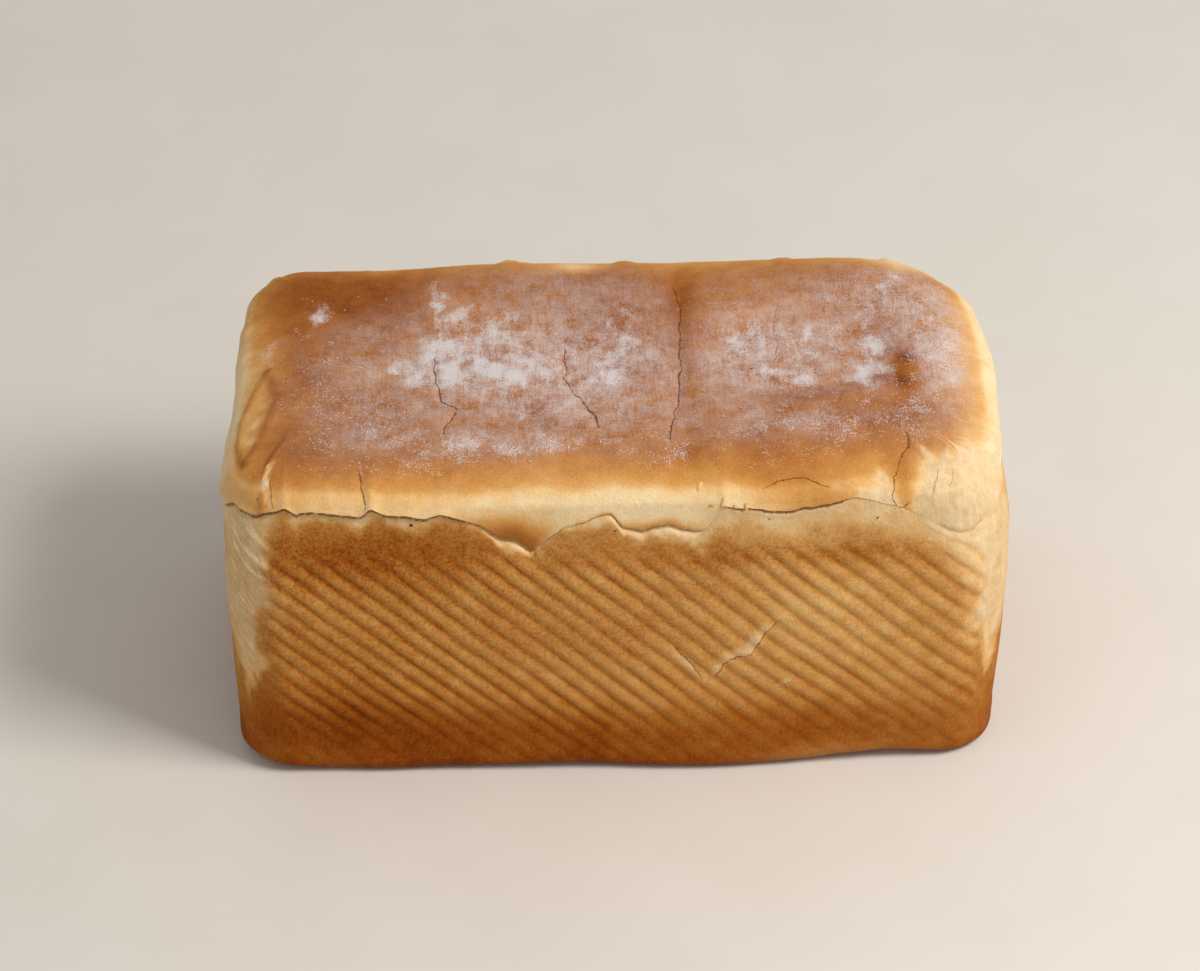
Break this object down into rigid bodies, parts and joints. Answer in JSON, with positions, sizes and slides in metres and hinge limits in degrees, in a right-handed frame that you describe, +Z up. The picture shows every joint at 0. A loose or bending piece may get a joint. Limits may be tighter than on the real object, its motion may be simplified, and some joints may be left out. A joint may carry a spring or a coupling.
{
  "type": "tin loaf",
  "caption": "White loaf baked in a ribbed tin: straight sides marked with slanting ribs, a flat floured crown that overhangs a ragged break along its edge, and rounded corners.",
  "frame": {"origin": "on the surface the loaf stands on, under the middle of its bounding box", "axes": "+X along the loaf's length towards the end with the sunken oval in the crown, -Y towards the long side with the deepest dip in the break, +Z up"},
  "size_m": [0.2434, 0.1238, 0.1178],
  "materials": {
    "crust": "dull baked crust, golden brown with paler torn dough"
  },
  "bodies": {
    "root": {"loaf": "crust"}
  },
  "joints": []
}
